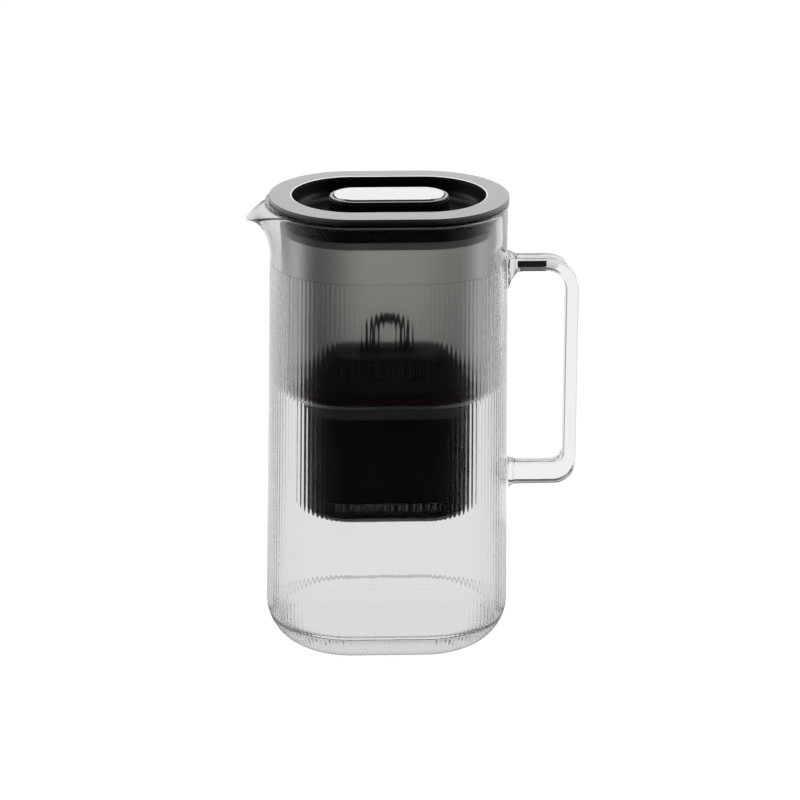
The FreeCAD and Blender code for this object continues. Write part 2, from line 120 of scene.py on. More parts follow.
studio = {
    "through": 0.71,  # what glass shows of the backdrop and the floor behind it
    "throughFall": 0.36,
    "throughFront": 0.26,
    "throughTop": 0.10,
    "back": 1.0,  # backdrop in reflections
    "front": 0.03,  # dark room on the camera's side
    "sides": 1.6,  # tall soft boxes left and right
    "top": 0.7,
    "backFrom": (-0.15, 0.45),  # where each part of the surroundings starts and is full, as directions
    "sidesFrom": (0.82, 0.92),
    "sidesUnder": (0.60, 0.35),
    "topFrom": (0.75, 0.90),
    "throughFrom": (-0.5, 0.5),
    "throughUnder": (0.75, 0.45),
    "bounces": 32,
}


def lightStudio():
    world = bpy.data.worlds.new("studio")
    world.use_nodes = True
    scene.world = world
    tree = world.node_tree
    tree.nodes.clear()
    spot = addNode(tree, "ShaderNodeTexCoord").outputs["Generated"]
    axes = addNode(tree, "ShaderNodeSeparateXYZ", {0: spot}).outputs
    mirrored = ramp(tree, axes["Y"], *studio["backFrom"], studio["front"], studio["back"])
    sideBox = ramp(tree, maths(tree, "ABSOLUTE", axes["X"]), *studio["sidesFrom"])
    sideBox = maths(tree, "MULTIPLY", sideBox, ramp(tree, axes["Z"], *studio["sidesUnder"]))
    mirrored = maths(tree, "MULTIPLY_ADD", sideBox, studio["sides"], mirrored)
    mirrored = maths(tree, "MULTIPLY_ADD", ramp(tree, axes["Z"], *studio["topFrom"]), studio["top"], mirrored)
    through = ramp(tree, axes["Y"], *studio["throughFrom"], studio["throughFront"], studio["through"])
    overhead = ramp(tree, axes["Z"], *studio["throughUnder"], studio["throughTop"], 1.0)
    through = maths(tree, "MULTIPLY", through, overhead)
    rays = addNode(tree, "ShaderNodeLightPath").outputs
    strength = mixValues(tree, rays["Is Transmission Ray"], mirrored, through)
    strength = mixValues(tree, rays["Is Camera Ray"], strength, 1.0)
    back = addNode(tree, "ShaderNodeBackground", {"Color": (1, 1, 1, 1), "Strength": strength})
    addNode(tree, "ShaderNodeOutputWorld", {"Surface": back.outputs[0]})
    scene.view_settings.view_transform = "Standard"
    scene.cycles.max_bounces = studio["bounces"]
    scene.cycles.transmission_bounces = studio["bounces"]
    scene.cycles.glossy_bounces = studio["bounces"] // 2


ground = {
    "half": 12.0,
    "drop": 0.0002,  # just under the glass
    "paint": {
        "Base Color": (0.05, 0.05, 0.05, 1), "Roughness": 0.9, "Specular IOR Level": 0.0, "Emission Strength": 1.0},
    "backFrom": (-0.1, 0.4),  # where each part of the floor's brightness starts and is full, in metres
    "sidesFrom": (0.35, 0.70),
    "throughFrom": (-0.45, -0.15),
    "fallFrom": (0.07, 0.30),
    "fallBehind": (0.05, 0.13),
}


def layFloor():
    paint, tree, shader = plainPaint("floorPaint", ground["paint"])
    spot = addNode(tree, "ShaderNodeTexCoord").outputs["Object"]
    axes = addNode(tree, "ShaderNodeSeparateXYZ", {0: spot}).outputs
    mirrored = ramp(tree, axes["Y"], *ground["backFrom"], studio["front"], studio["back"])
    sideways = maths(tree, "ABSOLUTE", axes["X"])
    mirrored = maths(tree, "ADD", mirrored, ramp(tree, sideways, *ground["sidesFrom"], 0.0, studio["sides"]))
    through = ramp(tree, axes["Y"], *ground["throughFrom"], studio["throughFront"], studio["through"])
    fall = ramp(tree, sideways, *ground["fallFrom"], 0.0, studio["throughFall"])
    fall = maths(tree, "MULTIPLY", ramp(tree, axes["Y"], *ground["fallBehind"]), fall)
    through = maths(tree, "SUBTRACT", through, fall)
    rays = addNode(tree, "ShaderNodeLightPath").outputs
    glow = mixValues(tree, rays["Is Transmission Ray"], mirrored, through)
    glow = mixValues(tree, rays["Is Camera Ray"], glow, 1.0)
    tree.links.new(glow, shader.inputs["Emission Color"])
    half = ground["half"]
    floor = flatObject("floor", [(-half, -half, 0), (half, -half, 0), (half, half, 0), (-half, half, 0)], paint)
    floor.location = (0, 0, -ground["drop"])


# upright cards behind the handle, seen from the front through glass only
cards = {
    "places": [  # left, right, low, high, back and brightness
        (0.0720, 0.0915, 0.2229, 0.2620, 0.0165, 0.01),
        (0.0995, 0.1170, 0.0600, 0.2240, 0.0300, 0.88),
        (0.0690, 0.0995, 0.0600, 0.1010, 0.0300, 0.88),
    ],
    "depth": 2.5,  # a card shows behind one piece of glass, not behind two
}


def hangCards():
    for left, right, low, high, back, glow in cards["places"]:
        paint, tree, shader = plainPaint("cardPaint", {
            "Base Color": (0, 0, 0, 1), "Emission Color": (glow, glow, glow, 1), "Specular IOR Level": 0.0,
            "Emission Strength": 1.0})
        depth = addNode(tree, "ShaderNodeLightPath").outputs["Transmission Depth"]
        near = maths(tree, "LESS_THAN", depth, cards["depth"])
        behind = addNode(tree, "ShaderNodeNewGeometry").outputs["Backfacing"]
        tree.links.new(maths(tree, "SUBTRACT", near, behind, clamp=True), shader.inputs["Alpha"])
        corners = [(left, back, low), (right, back, low), (right, back, high), (left, back, high)]
        card = flatObject("card", corners, paint)
        card.visible_camera = card.visible_diffuse = card.visible_glossy = card.visible_shadow = False


placeCamera()
lightStudio()
layFloor()
hangCards()
print("camera, light and floor are set")


noiseRange = (0.3, 0.7)  # the part of the noise that is spread from low to high
upRange = (0.8, 0.95)  # how level a face has to be to count as looking up


def speckleGroup():
    group = bpy.data.node_groups.new("speckle", "ShaderNodeTree")
    face = group.interface
    for name, value in (("Scale", 400.0), ("Detail", 3.0), ("Low", 0.0), ("High", 1.0)):
        face.new_socket(name, in_out="INPUT", socket_type="NodeSocketFloat").default_value = value
    stretch = face.new_socket("Stretch", in_out="INPUT", socket_type="NodeSocketVector")
    stretch.default_value = (1, 1, 1)
    face.new_socket("Value", in_out="OUTPUT", socket_type="NodeSocketFloat")
    given = group.nodes.new("NodeGroupInput").outputs
    place = addNode(group, "ShaderNodeTexCoord").outputs["Object"]
    place = addNode(group, "ShaderNodeMapping", {"Vector": place, "Scale": given["Stretch"]}).outputs[0]
    noise = addNode(group, "ShaderNodeTexNoise", {"Vector": place, "Scale": given["Scale"], "Detail": given["Detail"]})
    low, high = noiseRange
    value = addNode(group, "ShaderNodeMapRange", {
        "Value": noise.outputs[0], "From Min": low, "From Max": high, "To Min": given["Low"], "To Max": given["High"]})
    addNode(group, "NodeGroupOutput", {"Value": value.outputs["Result"]})
    return group


speckle = speckleGroup()


def makeMaterial(name, finish):
    material, tree, shader = plainPaint(name, finish.get("plain", {}))
    colour = None

    def speckled(detail, low, high):
        node = addNode(tree, "ShaderNodeGroup", node_tree=speckle)
        values = {"Scale": detail["scale"], "Low": low, "High": high, "Stretch": detail.get("stretch", (1, 1, 1))}
        for key, value in values.items():
            node.inputs[key].default_value = value
        return node.outputs["Value"]

    def place(axis):
        spot = addNode(tree, "ShaderNodeTexCoord").outputs["Object"]
        return addNode(tree, "ShaderNodeSeparateXYZ", {0: spot}).outputs[axis]

    def attribute(key):
        return addNode(tree, "ShaderNodeAttribute", attribute_name=key).outputs["Fac"]

    # painted glow: emission on a surface that is no lamp
    def setPaintedGlow(level):
        grey = addNode(tree, "ShaderNodeCombineColor", {0: level, 1: level, 2: level}).outputs[0]
        tree.links.new(grey, shader.inputs["Emission Color"])
        shader.inputs["Emission Strength"].default_value = 1.0

    tone = finish.get("tone")  # two near colours in soft patches
    if tone:
        colour = mixColours(tree, speckled(tone, 0.0, 1.0), (*tone["from"], 1), (*tone["to"], 1))
    if "line" in finish:  # painted shade: a darker line, where the piece's own attribute says so
        key, shaded = finish["line"]
        colour = mixColours(tree, attribute(key), colour, (*shaded, 1))
    if "polish" in finish:  # a bright cut edge, where the piece's own attribute says so
        key, bright = finish["polish"]
        colour = mixColours(tree, attribute(key), colour, (*bright, 1))
    if "topOnly" in finish:  # metal on the faces that look up, black on the sides
        normal = addNode(tree, "ShaderNodeNewGeometry").outputs["Normal"]
        up = ramp(tree, addNode(tree, "ShaderNodeSeparateXYZ", {0: normal}).outputs["Z"], *upRange)
        colour = mixColours(tree, up, (*finish["topOnly"], 1), colour)
        tree.links.new(up, shader.inputs["Metallic"])
    rise = finish.get("rise")  # one colour below, turning to another above
    if rise:
        risen = ramp(tree, place("Z"), *rise["between"])
        colour = mixColours(tree, risen, (*rise["from"], 1), (*rise["to"], 1))
    if "shade" in finish:  # painted shade: darker in places, as ramps along the axes
        share = 1.0
        for axis, steps in finish["shade"].items():
            level = 0.0
            for step in steps:
                level = maths(tree, "ADD", ramp(tree, place(axis), *step), level)
            share = maths(tree, "MULTIPLY", level, share)
        colour = mixColours(tree, share, (0, 0, 0, 1), colour)
    edges = finish.get("edges")  # painted light: a tinted shell is painted near-white where it is seen edge-on, lower down only at its ends, standing in for side light reflected there
    if edges:
        facing = addNode(tree, "ShaderNodeLayerWeight").outputs["Facing"]
        behind = addNode(tree, "ShaderNodeNewGeometry").outputs["Backfacing"]
        share = mixValues(tree, behind, ramp(tree, facing, *edges["outside"]), ramp(tree, facing, *edges["inside"]))
        atEnds = ramp(tree, maths(tree, "ABSOLUTE", place("X")), *edges["ends"])
        atEnds = maths(tree, "MULTIPLY", atEnds, ramp(tree, place("Z"), *edges["endsAbove"]))
        share = maths(tree, "MULTIPLY", share, maths(tree, "MAXIMUM", atEnds, risen))
        colour = mixColours(tree, share, colour, (*edges["to"], 1))
    if colour:
        tree.links.new(colour, shader.inputs["Base Color"])
    haze = finish.get("haze")  # clearer in front, hazier behind
    if haze:
        tree.links.new(ramp(tree, place("Y"), *haze["between"], *haze["rough"]), shader.inputs["Roughness"])
    if "glow" in finish:  # painted glow: an edge painted with a faint glow, standing in for its highlight, where the piece's own attribute says so
        key, strength = finish["glow"]
        setPaintedGlow(maths(tree, "MULTIPLY", attribute(key), strength))
    band = finish.get("band")  # painted glow: a thicker band painted with a faint glow, standing in for light reflected off it
    if band:
        level = maths(tree, "MULTIPLY", ramp(tree, place("Z"), *band["low"]), ramp(tree, place("Z"), *band["high"]))
        setPaintedGlow(maths(tree, "MULTIPLY", level, band["glow"]))
    sheen = finish.get("sheen")  # roughness that changes a little over the surface
    if sheen:
        tree.links.new(speckled(sheen, sheen["low"], sheen["high"]), shader.inputs["Roughness"])
    grain = finish.get("grain")  # fine relief
    if grain:
        bump = addNode(tree, "ShaderNodeBump", {
            "Height": speckled(grain, 0.0, 1.0), "Strength": grain["strength"], "Distance": grain["depth"]})
        tree.links.new(bump.outputs[0], shader.inputs["Normal"])
    return material


finishes = {
    "clear_glass": {
        "plain": {"Transmission Weight": 1.0, "IOR": 1.47, "Roughness": 0.0, "Specular Tint": (0.08, 0.08, 0.08, 1)},
        # painted glow on the glass rim
        "glow": ("rim", 0.05),
        # painted shade lines where the ribs end and at the inside floor's far edge
        "line": ("paintedShadeLine", (0.45, 0.45, 0.45)),
        "tone": {"scale": 14, "from": (0.985, 0.99, 0.99), "to": (0.995, 0.997, 0.996)},
        "grain": {"scale": 38, "strength": 0.25, "depth": 0.0004},
    },
    "smoke_plastic": {
        "plain": {"Transmission Weight": 1.0, "IOR": 1.45, "Specular Tint": (0.08, 0.08, 0.08, 1)},
        "rise": {"between": (0.155, 0.166), "from": (0.08, 0.07, 0.07), "to": (0.57, 0.56, 0.545)},
        # painted shade: darker towards the left end, a little at the right end, and lower down
        "shade": {"X": [(-0.046, -0.012, 0.56, 1.0), (0.010, 0.045, 0.0, -0.13)], "Z": [(0.15, 0.235, 0.80, 1.0)]},
        # painted light: near-white where the shell is seen edge-on
        "edges": {
            "outside": (0.16, 0.52), "inside": (0.08, 0.215), "ends": (0.040, 0.054), "endsAbove": (0.149, 0.157),
            "to": (0.90, 0.89, 0.88)},
        "haze": {"between": (-0.038, 0.036), "rough": (0.16, 0.33)},
        # painted glow on the cup's band
        "band": {"low": (0.1458, 0.1462), "high": (0.1545, 0.1535), "glow": 0.007},
    },
    "cap_plastic": {
        "plain": {"Specular IOR Level": 0.15},
        "tone": {"scale": 300, "from": (0.055, 0.054, 0.055), "to": (0.075, 0.073, 0.073)},
        "sheen": {"scale": 60, "low": 0.36, "high": 0.46},
        "grain": {"scale": 1800, "strength": 0.25, "depth": 0.0002},
    },
    "inner_plastic": {
        "plain": {"Specular IOR Level": 0.05},
        "tone": {"scale": 60, "from": (0.006, 0.006, 0.007), "to": (0.010, 0.010, 0.010)},
        "sheen": {"scale": 40, "low": 0.3, "high": 0.4},
        "grain": {"scale": 1500, "strength": 0.06, "depth": 0.0001},
    },
    "cartridge_plastic": {
        "plain": {"Specular IOR Level": 0.15},
        "tone": {"scale": 300, "from": (0.012, 0.012, 0.013), "to": (0.020, 0.019, 0.019)},
        "sheen": {"scale": 60, "low": 0.36, "high": 0.46},
        "grain": {"scale": 1800, "strength": 0.25, "depth": 0.0002},
    },
    "burgundy_rubber": {
        "plain": {"Specular IOR Level": 0.15},
        "tone": {"scale": 120, "from": (0.19, 0.008, 0.026), "to": (0.24, 0.012, 0.036)},
        "sheen": {"scale": 80, "low": 0.45, "high": 0.6},
        "grain": {"scale": 900, "strength": 0.2, "depth": 0.0002},
    },
    "steel_mesh": {
        "plain": {"Metallic": 1.0},
        "tone": {"scale": 500, "from": (0.40, 0.40, 0.41), "to": (0.50, 0.50, 0.51)},
        "sheen": {"scale": 300, "low": 0.3, "high": 0.5},
    },
    "granules": {
        "tone": {"scale": 900, "from": (0.02, 0.02, 0.02), "to": (0.10, 0.09, 0.08)},
        "sheen": {"scale": 700, "low": 0.6, "high": 0.9},
        "grain": {"scale": 900, "strength": 0.9, "depth": 0.0006},
    },
    "black_plastic": {
        "plain": {"Specular IOR Level": 0.3},
        "tone": {"scale": 60, "from": (0.003, 0.003, 0.003), "to": (0.005, 0.005, 0.005)},
        "sheen": {"scale": 40, "low": 0.28, "high": 0.36},
        "grain": {"scale": 1500, "strength": 0.06, "depth": 0.0001},
    },
    "satin_plate": {
        "tone": {"scale": 1400, "from": (0.44, 0.435, 0.435), "to": (0.51, 0.50, 0.50)},
        "topOnly": (0.010, 0.010, 0.010),
        "polish": ("polish", (0.97, 0.97, 0.97)),
        "sheen": {"scale": 900, "low": 0.34, "high": 0.44},
        "grain": {"scale": 2200, "strength": 0.10, "depth": 0.0001},
    },
    "grey_silicone": {
        "tone": {"scale": 90, "from": (0.82, 0.82, 0.81), "to": (0.90, 0.90, 0.89)},
        "sheen": {"scale": 60, "low": 0.5, "high": 0.65},
        "grain": {"scale": 1200, "strength": 0.15, "depth": 0.0002},
    },
    "steel_screw": {
        "plain": {"Metallic": 1.0},
        "tone": {"scale": 700, "from": (0.50, 0.50, 0.51), "to": (0.60, 0.60, 0.60)},
        "sheen": {"scale": 500, "low": 0.22, "high": 0.36},
    },
    "bezel_metal": {
        "tone": {"scale": 900, "from": (0.40, 0.40, 0.40), "to": (0.46, 0.46, 0.46)},
        "topOnly": (0.004, 0.004, 0.004),
        "sheen": {"scale": 800, "low": 0.22, "high": 0.30},
    },
    "bright_metal": {
        "plain": {"Metallic": 1.0},
        "tone": {"scale": 900, "stretch": (0.08, 1, 1), "from": (0.82, 0.82, 0.815), "to": (0.87, 0.87, 0.865)},
        "sheen": {"scale": 800, "stretch": (0.08, 1, 1), "low": 0.22, "high": 0.30},
    },
    "spring_steel": {
        "plain": {"Metallic": 1.0},
        "tone": {"scale": 700, "from": (0.52, 0.52, 0.52), "to": (0.66, 0.66, 0.65)},
        "sheen": {"scale": 500, "low": 0.2, "high": 0.35},
    },
    "board_laminate": {
        "tone": {"scale": 500, "from": (0.015, 0.11, 0.045), "to": (0.03, 0.17, 0.07)},
        "sheen": {"scale": 200, "low": 0.3, "high": 0.45},
    },
    "switch_plastic": {
        "tone": {"scale": 300, "from": (0.03, 0.03, 0.03), "to": (0.05, 0.05, 0.05)},
        "sheen": {"scale": 200, "low": 0.4, "high": 0.55},
    },
    "led_lens": {
        "tone": {"scale": 600, "from": (0.80, 0.76, 0.60), "to": (0.90, 0.88, 0.74)},
        "sheen": {"scale": 300, "low": 0.15, "high": 0.3},
    },
    "cell_steel": {
        "plain": {"Metallic": 1.0},
        "tone": {"scale": 400, "from": (0.62, 0.62, 0.61), "to": (0.72, 0.72, 0.71)},
        "sheen": {"scale": 300, "low": 0.2, "high": 0.34},
    },
}
materials = {name: makeMaterial(name, finish) for name, finish in finishes.items()}
finishOf = {part["node"]: part["material_slot"] for part in frame["record"]["subparts"]}
finishOf.update({"lid_pan": "inner_plastic", "cartridge_cap": "cap_plastic"})  # their own shade of the slot
for nodeName, node in frame["nodes"].items():
    node.data.materials.clear()
    node.data.materials.append(materials[finishOf[nodeName]])
print("finishes made:", len(materials))


def newPiece(name, slot, body, replaced, mesh):
    piece = bpy.data.objects.new(name, mesh)
    scene.collection.objects.link(piece)
    if not mesh.materials:
        mesh.materials.append(materials[slot])
    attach(piece, body)
    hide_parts(*replaced)
    return piece


def arcPoints(centre, radius, start, end, steps):
    turns = [math.radians(start + (end - start) * step / steps) for step in range(steps + 1)]
    return [(centre[0] + radius * math.cos(turn), centre[1] + radius * math.sin(turn)) for turn in turns]


def smooth(share):
    share = np.clip(share, 0.0, 1.0)
    return share * share * (3 - 2 * share)


sharpAngle = math.radians(35)
mergeGap = 1e-6

glass = {
    "halfRun": 0.0204,
    "baseRadius": 0.0499,
    "shoulderRadius": 0.0475,
    "shoulder": 0.233,
    "height": 0.266,
    "wall": 0.0032,
    "floor": 0.0160,
    "baseRound": 0.027,
    "baseSteps": 18,
    "insideRound": 0.006,
    "insideSteps": 16,
    "insideRows": (0.225, 0.20, 0.15, 0.10, 0.06, 0.035, 0.0235),
    "middleRing": 0.012,  # a ring near the middle of each flat floor
    "floorLine": (0.0194, 0.0211),  # painted shade: a faint dark line at the far edge of the inside floor
    "floorLineFade": 0.25,
    "rimRound": 0.0012,
    "rimSteps": 5,
    "paintedRimGlow": 0.75,  # share of the rim's rounding that gets the painted glow
    "neckSteps": 14,
    "neckEase": 0.8,
    "ribs": 138,
    "stepsPerRib": 6,
    "ribHeight": 0.00013,
    "ribStart": 0.003,
    "ribRows": (0.05, 0.09, 0.13, 0.17, 0.20, 0.222, 0.2285),
    "ribFade": 0.0008,
    "ribFadeSteps": 8,
    "ribLineAbove": 0.2,
    "spoutReach": 0.0150,
    "spoutDroop": 0.0092,
    "spoutDroopCurve": 1.6,
    "spoutHalfWidth": 0.0290,
    "spoutFoot": 0.230,
    "spoutCurve": 2.7,
    "spoutTip": 0.0030,
    "spoutSoft": 0.12,
    "spoutFade": (-0.25, 0.05),
}


def wallRadius(height):
    drop = glass["baseRadius"] - glass["shoulderRadius"]
    return glass["baseRadius"] - drop * height / glass["shoulder"]


def neckHeight(step):
    straight = glass["height"] - glass["rimRound"] - glass["shoulder"]
    return glass["shoulder"] + straight * (step / glass["neckSteps"]) ** glass["neckEase"]


def glassOutside():
    # rows of (radius, height, rib share) from the middle of the base up to the rim
    relief, foot, fade = glass["ribHeight"], glass["baseRound"], glass["ribFade"]
    rows = [(0.0, 0.0, 0.0), (glass["middleRing"], 0.0, 0.0)]
    tilt = math.degrees(math.atan2(glass["baseRadius"] - glass["shoulderRadius"], glass["shoulder"]))
    centre = (wallRadius(foot) - relief - foot, foot)
    for radius, high in arcPoints(centre, foot, -90, tilt, glass["baseSteps"]):
        rows.append((radius, high, float(smooth(high / glass["ribStart"]))))
    ribEnd = glass["shoulder"] - fade
    fadeRows = [ribEnd + fade * step / glass["ribFadeSteps"] for step in range(glass["ribFadeSteps"] + 1)]
    for high in (*glass["ribRows"], *fadeRows):
        share = float(smooth((glass["shoulder"] - high) / fade))
        rows.append((wallRadius(high) - relief * share, high, share))
    neck, lip = glass["shoulderRadius"], glass["rimRound"]
    rows += [(neck, neckHeight(step), 0.0) for step in range(1, glass["neckSteps"] + 1)]
    rim = arcPoints((neck - lip, glass["height"] - lip), lip, 0, 90, glass["rimSteps"])[1:]
    return rows + [(radius, high, 0.0) for radius, high in rim]


def glassInside():
    # the same kind of rows from the rim down to the middle of the floor
    wall, inner, lip = glass["wall"], glass["insideRound"], glass["rimRound"]
    tilt = math.degrees(math.atan2(glass["baseRadius"] - glass["shoulderRadius"], glass["shoulder"]))
    mouth = glass["shoulderRadius"] - wall
    rows = arcPoints((mouth + lip, glass["height"] - lip), lip, 90, 180, glass["rimSteps"])
    rows += [(mouth, neckHeight(step)) for step in range(glass["neckSteps"] - 1, -1, -1)]
    rows += [(wallRadius(high) - wall, high) for high in glass["insideRows"]]
    top = glass["floor"] + inner
    rows += arcPoints((wallRadius(top) - wall - inner, top), inner, tilt, -90, glass["insideSteps"])
    rows += [(glass["middleRing"], glass["floor"]), (0.0, glass["floor"])]
    return [(radius, high, 0.0) for radius, high in rows]


def roundTheOblong(count, radius, halfRun):
    # even steps along an oblong, from the middle of its near side: axis place, direction and turned share
    girth = 2 * math.pi * radius + 4 * halfRun
    spokes = []
    for step in range(count):
        share = step / count
        along = share * girth
        quarter = math.pi * radius
        if along < halfRun:
            spokes.append((along, 0.0, -1.0, share))
        elif along < halfRun + quarter:
            turn = (along - halfRun) / radius - math.pi / 2
            spokes.append((halfRun, math.cos(turn), math.sin(turn), share))
        elif along < 3 * halfRun + quarter:
            spokes.append((2 * halfRun + quarter - along, 0.0, 1.0, share))
        elif along < 3 * halfRun + 2 * quarter:
            turn = (along - 3 * halfRun - quarter) / radius + math.pi / 2
            spokes.append((-halfRun, math.cos(turn), math.sin(turn), share))
        else:
            spokes.append((along - girth, 0.0, -1.0, share))
    return np.array(spokes)


def spokePoints(spokes, rows):
    # every row set out along every spoke
    points = np.zeros((len(spokes), len(rows), 3))
    points[:, :, 0] = spokes[:, 0, None] + spokes[:, 1, None] * rows[None, :, 0]
    points[:, :, 1] = spokes[:, 2, None] * rows[None, :, 0]
    points[:, :, 2] = rows[None, :, 1]
    return points


def drawSpout(points, spokes, rows):
    # the neck's near end is drawn out to a drooping beak, more towards the rim
    across = spokes[:, 2] * glass["shoulderRadius"]
    across = np.sqrt(across ** 2 + glass["spoutTip"] ** 2) - glass["spoutTip"]
    lean = 1 - across / glass["spoutHalfWidth"]
    soft = glass["spoutSoft"]
    pull = (lean + np.sqrt(lean ** 2 + soft ** 2)) / (1 + math.sqrt(1 + soft ** 2))
    low, high = glass["spoutFade"]
    pull = np.where(spokes[:, 1] < 0, pull * smooth((lean - low) / (high - low)), 0.0)
    rise = (rows[:, 1] - glass["spoutFoot"]) / (glass["height"] - glass["spoutFoot"])
    draw = np.clip(rise, 0.0, 1.0) ** glass["spoutCurve"]
    share = pull[:, None] * draw[None, :]
    points[:, :, 0] -= glass["spoutReach"] * share
    points[:, :, 2] -= glass["spoutDroop"] * share ** glass["spoutDroopCurve"]
    return points


def gridMesh(name, points, attributes=None, closedRows=False):
    columns, rows = points.shape[:2]
    mesh = bpy.data.meshes.new(name)
    faces = []
    for column in range(columns):
        beside = (column + 1) % columns
        for row in range(rows if closedRows else rows - 1):
            above = (row + 1) % rows
            faces.append((column * rows + row, beside * rows + row, beside * rows + above, column * rows + above))
    mesh.from_pydata(points.reshape(-1, 3).tolist(), [], faces)
    for key, values in (attributes or {}).items():
        mesh.attributes.new(key, "FLOAT", "POINT").data.foreach_set("value", values.astype(np.float32).ravel())
    form = bmesh.new()
    form.from_mesh(mesh)
    bmesh.ops.remove_doubles(form, verts=form.verts, dist=mergeGap)
    bmesh.ops.dissolve_degenerate(form, edges=form.edges, dist=mergeGap / 10)
    bmesh.ops.recalc_face_normals(form, faces=form.faces)
    form.to_mesh(mesh)
    form.free()
    mesh.shade_smooth()
    return mesh


def ribTree():
    tree = bpy.data.node_groups.new("ribs", "GeometryNodeTree")
    face = tree.interface
    face.new_socket("Geometry", in_out="INPUT", socket_type="NodeSocketGeometry")
    for name in ("Ribs", "Height"):
        face.new_socket(name, in_out="INPUT", socket_type="NodeSocketFloat")
    face.new_socket("Material", in_out="INPUT", socket_type="NodeSocketMaterial")
    face.new_socket("Geometry", in_out="OUTPUT", socket_type="NodeSocketGeometry")
    given = tree.nodes.new("NodeGroupInput").outputs
    around = addNode(tree, "GeometryNodeInputNamedAttribute", {"Name": "around"}, data_type="FLOAT").outputs[0]
    share = addNode(tree, "GeometryNodeInputNamedAttribute", {"Name": "ribShare"}, data_type="FLOAT").outputs[0]
    phase = maths(tree, "MULTIPLY", maths(tree, "MULTIPLY", around, given["Ribs"]), 2 * math.pi)
    wave = ramp(tree, maths(tree, "COSINE", phase), -1.0, 1.0)
    lift = maths(tree, "MULTIPLY", maths(tree, "MULTIPLY", wave, share), given["Height"])
    normal = tree.nodes.new("GeometryNodeInputNormal").outputs[0]
    offset = addNode(tree, "ShaderNodeVectorMath", {0: normal, "Scale": lift}, operation="SCALE").outputs[0]
    moved = addNode(tree, "GeometryNodeSetPosition", {"Geometry": given["Geometry"], "Offset": offset})
    whole = addNode(tree, "GeometryNodeRealizeInstances", {"Geometry": moved.outputs[0]})
    painted = addNode(tree, "GeometryNodeSetMaterial", {"Geometry": whole.outputs[0], "Material": given["Material"]})
    addNode(tree, "NodeGroupOutput", {"Geometry": painted.outputs[0]})
    return tree


def runTree(tree, mesh, values):
    # the tree's result as a plain mesh
    holder = bpy.data.objects.new("holder", mesh)
    scene.collection.objects.link(holder)
    modifier = holder.modifiers.new("nodes", "NODES")
    modifier.node_group = tree
    for item in tree.interface.items_tree:
        if item.in_out == "INPUT" and item.name in values:
            modifier[item.identifier] = values[item.name]
    graph = bpy.context.evaluated_depsgraph_get()
    result = bpy.data.meshes.new_from_object(holder.evaluated_get(graph))
    holder.modifiers.remove(modifier)
    bpy.data.objects.remove(holder)
    return result


def makeJug():
    outside, inside = glassOutside(), glassInside()
    rows = np.array(outside + inside)
    spokes = roundTheOblong(glass["ribs"] * glass["stepsPerRib"], glass["shoulderRadius"], glass["halfRun"])
    points = drawSpout(spokePoints(spokes, rows), spokes, rows)
    around = np.repeat(spokes[:, 3], len(rows))
    shares = np.tile(rows[:, 2], len(spokes))
    # the rim's painted glow mask
    edge = rows[:, 1] + rows[:, 0] - glass["height"] - glass["shoulderRadius"]
    rim = np.tile((edge > -glass["rimRound"] * glass["paintedRimGlow"]).astype(float), len(spokes))
    # painted shade: a dark line where the ribs fade out under the neck, and one along the inside floor's far edge,
    # mostly behind
    ribEnds = 4 * rows[:, 2] * (1 - rows[:, 2]) * (rows[:, 1] > glass["ribLineAbove"])
    low, high = glass["floorLine"]
    floorEdge = (np.arange(len(rows)) >= len(outside)) & (rows[:, 1] > low) & (rows[:, 1] < high)
    farSide = smooth(spokes[:, 2] / glass["floorLineFade"])
    line = ribEnds[None, :] + farSide[:, None] * floorEdge[None, :]
    mesh = gridMesh("jug", points, {"around": around, "ribShare": shares, "rim": rim, "paintedShadeLine": line})
    ribbed = runTree(ribTree(), mesh, {
        "Ribs": float(glass["ribs"]), "Height": glass["ribHeight"], "Material": materials["clear_glass"]})
    ribbed.shade_smooth()
    newPiece("ribbedJug", "clear_glass", "jug", ["glass_jug"], ribbed)
    print("jug:", len(ribbed.polygons), "faces")


handle = {
    "seat": 0.0684,
    "barInside": 0.1015,
    "barOutside": 0.1089,
    "top": 0.2341,
    "topUnder": 0.2264,
    "lowTop": 0.1094,
    "low": 0.0971,
    "lowSeat": 0.0700,
    "halfWidth": 0.0065,
    "topRounds": (0.019, 0.0115),
    "lowRounds": (0.0127, 0.0070),
    "web": 0.009,
    "edgeRound": 0.0018,
    "flare": (0.0016, 0.0055),  # how much each weld spreads, and how far along the strap
    "ringSteps": 96,
    "armSteps": 18,
    "barSteps": 12,
    "turnSteps": 16,
}


